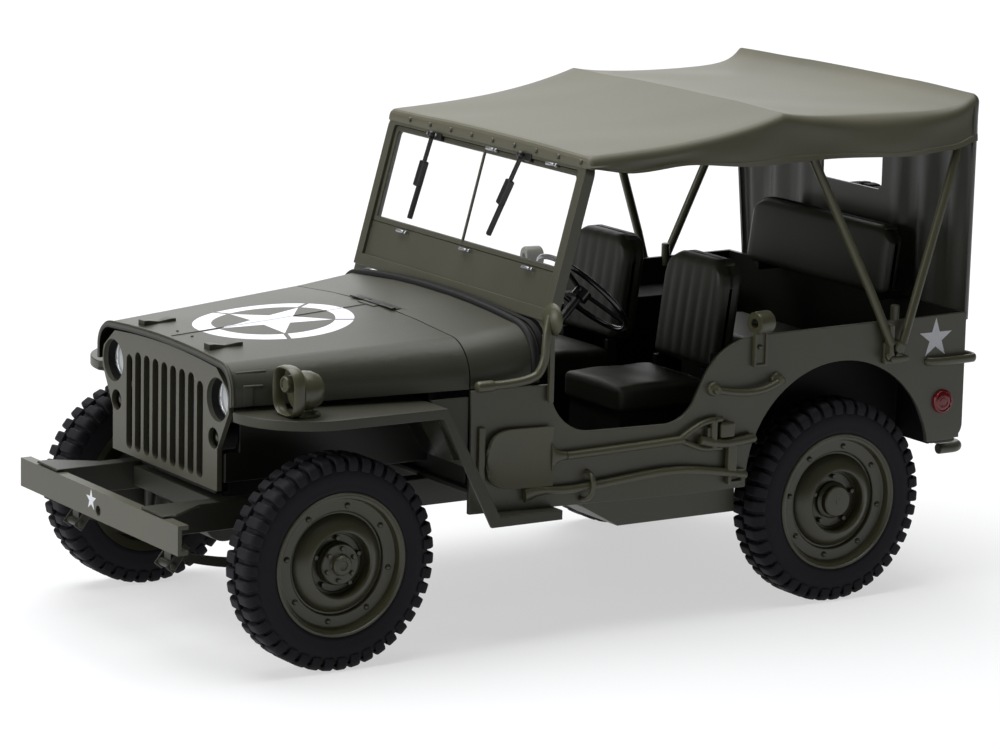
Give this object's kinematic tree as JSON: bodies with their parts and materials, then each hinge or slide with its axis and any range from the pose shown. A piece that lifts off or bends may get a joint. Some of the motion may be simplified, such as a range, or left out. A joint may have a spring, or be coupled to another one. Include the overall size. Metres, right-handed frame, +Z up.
{
  "type": "scale model of an army 4x4 car",
  "caption": "Toy-size army 4x4 car with soft top up, open sides, spare wheel, opening hood, turning wheels and working steering.",
  "frame": {"origin": "on the ground under the centre of the model's outline", "axes": "+X forward, +Y the car's left, +Z up"},
  "size_m": [0.1848, 0.0874, 0.1008],
  "materials": {
    "paint": "matt olive drab",
    "wheel_paint": "matt olive drab",
    "soft_top": "matt",
    "seat": "satin",
    "tyre": "matt",
    "glass": "clear",
    "lamp": "polished",
    "red_lens": "gloss",
    "black_plastic": "satin",
    "underbody": "matt"
  },
  "bodies": {
    "body": {"blackout_lamp": "paint", "body_side_left": "paint", "body_side_right": "paint", "bow_brackets": "paint", "canopy": "soft_top", "cowl": "paint", "dashboard": "paint", "driver_controls": "black_plastic", "driver_seat": "seat", "engine": "underbody", "exhaust": "underbody", "firewall": "paint", "floor": "paint", "frame_crossmembers": "underbody", "frame_rails": "underbody", "front_axle": "underbody", "front_bumper": "paint", "front_wing_left": "paint", "front_wing_right": "paint", "gearbox": "underbody", "grab_handles": "paint", "grille": "paint", "headlamps": "lamp", "leaf_springs": "underbody", "passenger_seat": "seat", "propeller_shafts": "underbody", "radiator": "underbody", "rear_axle": "underbody", "rear_curtain": "soft_top", "rear_guards": "paint", "rear_panel": "paint", "rear_seat": "seat", "reflectors": "red_lens", "screen_seal": "black_plastic", "seat_frames": "paint", "shock_absorbers": "underbody", "side_clamps": "paint", "side_mirror": "paint", "side_tools": "paint", "spare_rim": "wheel_paint", "spare_tyre": "tyre", "tank_sump": "underbody", "top_bows": "paint", "wheel_houses": "paint", "windscreen_frame": "paint", "windscreen_glass": "glass", "wipers": "paint"},
    "hood": {"hood": "paint"},
    "knuckle_left": {"knuckle_left": "underbody"},
    "knuckle_right": {"knuckle_right": "underbody"},
    "tie_rod": {"tie_rod": "underbody"},
    "steering_wheel": {"steering_wheel": "black_plastic"},
    "wheel_front_left": {"tyre_front_left": "tyre", "rim_front_left": "wheel_paint"},
    "wheel_front_right": {"tyre_front_right": "tyre", "rim_front_right": "wheel_paint"},
    "wheel_rear_left": {"tyre_rear_left": "tyre", "rim_rear_left": "wheel_paint"},
    "wheel_rear_right": {"tyre_rear_right": "tyre", "rim_rear_right": "wheel_paint"}
  },
  "joints": [
    {"name": "hood_hinge", "type": "hinge", "parent": "body", "child": "hood", "pos_m": [0.03305, 0, 0.06025], "axis": [0, -1, 0], "range_deg": [0, 95]},
    {"name": "steer_left", "type": "hinge", "parent": "body", "child": "knuckle_left", "pos_m": [0.06335, 0.031, 0.0202], "axis": [0, 0, 1], "range_deg": [-26, 26]},
    {"name": "steer_right", "type": "hinge", "parent": "body", "child": "knuckle_right", "pos_m": [0.06335, -0.031, 0.0202], "axis": [0, 0, 1], "range_deg": [-26, 26]},
    {"name": "tie_rod_pivot", "type": "hinge", "parent": "knuckle_left", "child": "tie_rod", "pos_m": [0.05535, 0.031, 0.0185], "axis": [0, 0, 1], "range_deg": [-26, 26]},
    {"name": "steering_wheel_turn", "type": "hinge", "parent": "body", "child": "steering_wheel", "pos_m": [-0.0035, 0.018, 0.0618], "axis": [-0.7071, 0, 0.7071], "range_deg": [-104, 104]},
    {"name": "spin_front_left", "type": "hinge", "parent": "knuckle_left", "child": "wheel_front_left", "pos_m": [0.06335, 0.0374, 0.0202], "axis": [0, 1, 0], "continuous": true},
    {"name": "spin_front_right", "type": "hinge", "parent": "knuckle_right", "child": "wheel_front_right", "pos_m": [0.06335, -0.0374, 0.0202], "axis": [0, 1, 0], "continuous": true},
    {"name": "spin_rear_left", "type": "hinge", "parent": "body", "child": "wheel_rear_left", "pos_m": [-0.04955, 0.0374, 0.0202], "axis": [0, 1, 0], "continuous": true},
    {"name": "spin_rear_right", "type": "hinge", "parent": "body", "child": "wheel_rear_right", "pos_m": [-0.04955, -0.0374, 0.0202], "axis": [0, 1, 0], "continuous": true}
  ],
  "couplings": [
    {"joint": "steer_right", "follows": "steer_left", "ratio": 1},
    {"joint": "tie_rod_pivot", "follows": "steer_left", "ratio": -1},
    {"joint": "steering_wheel_turn", "follows": "steer_left", "ratio": 4}
  ]
}
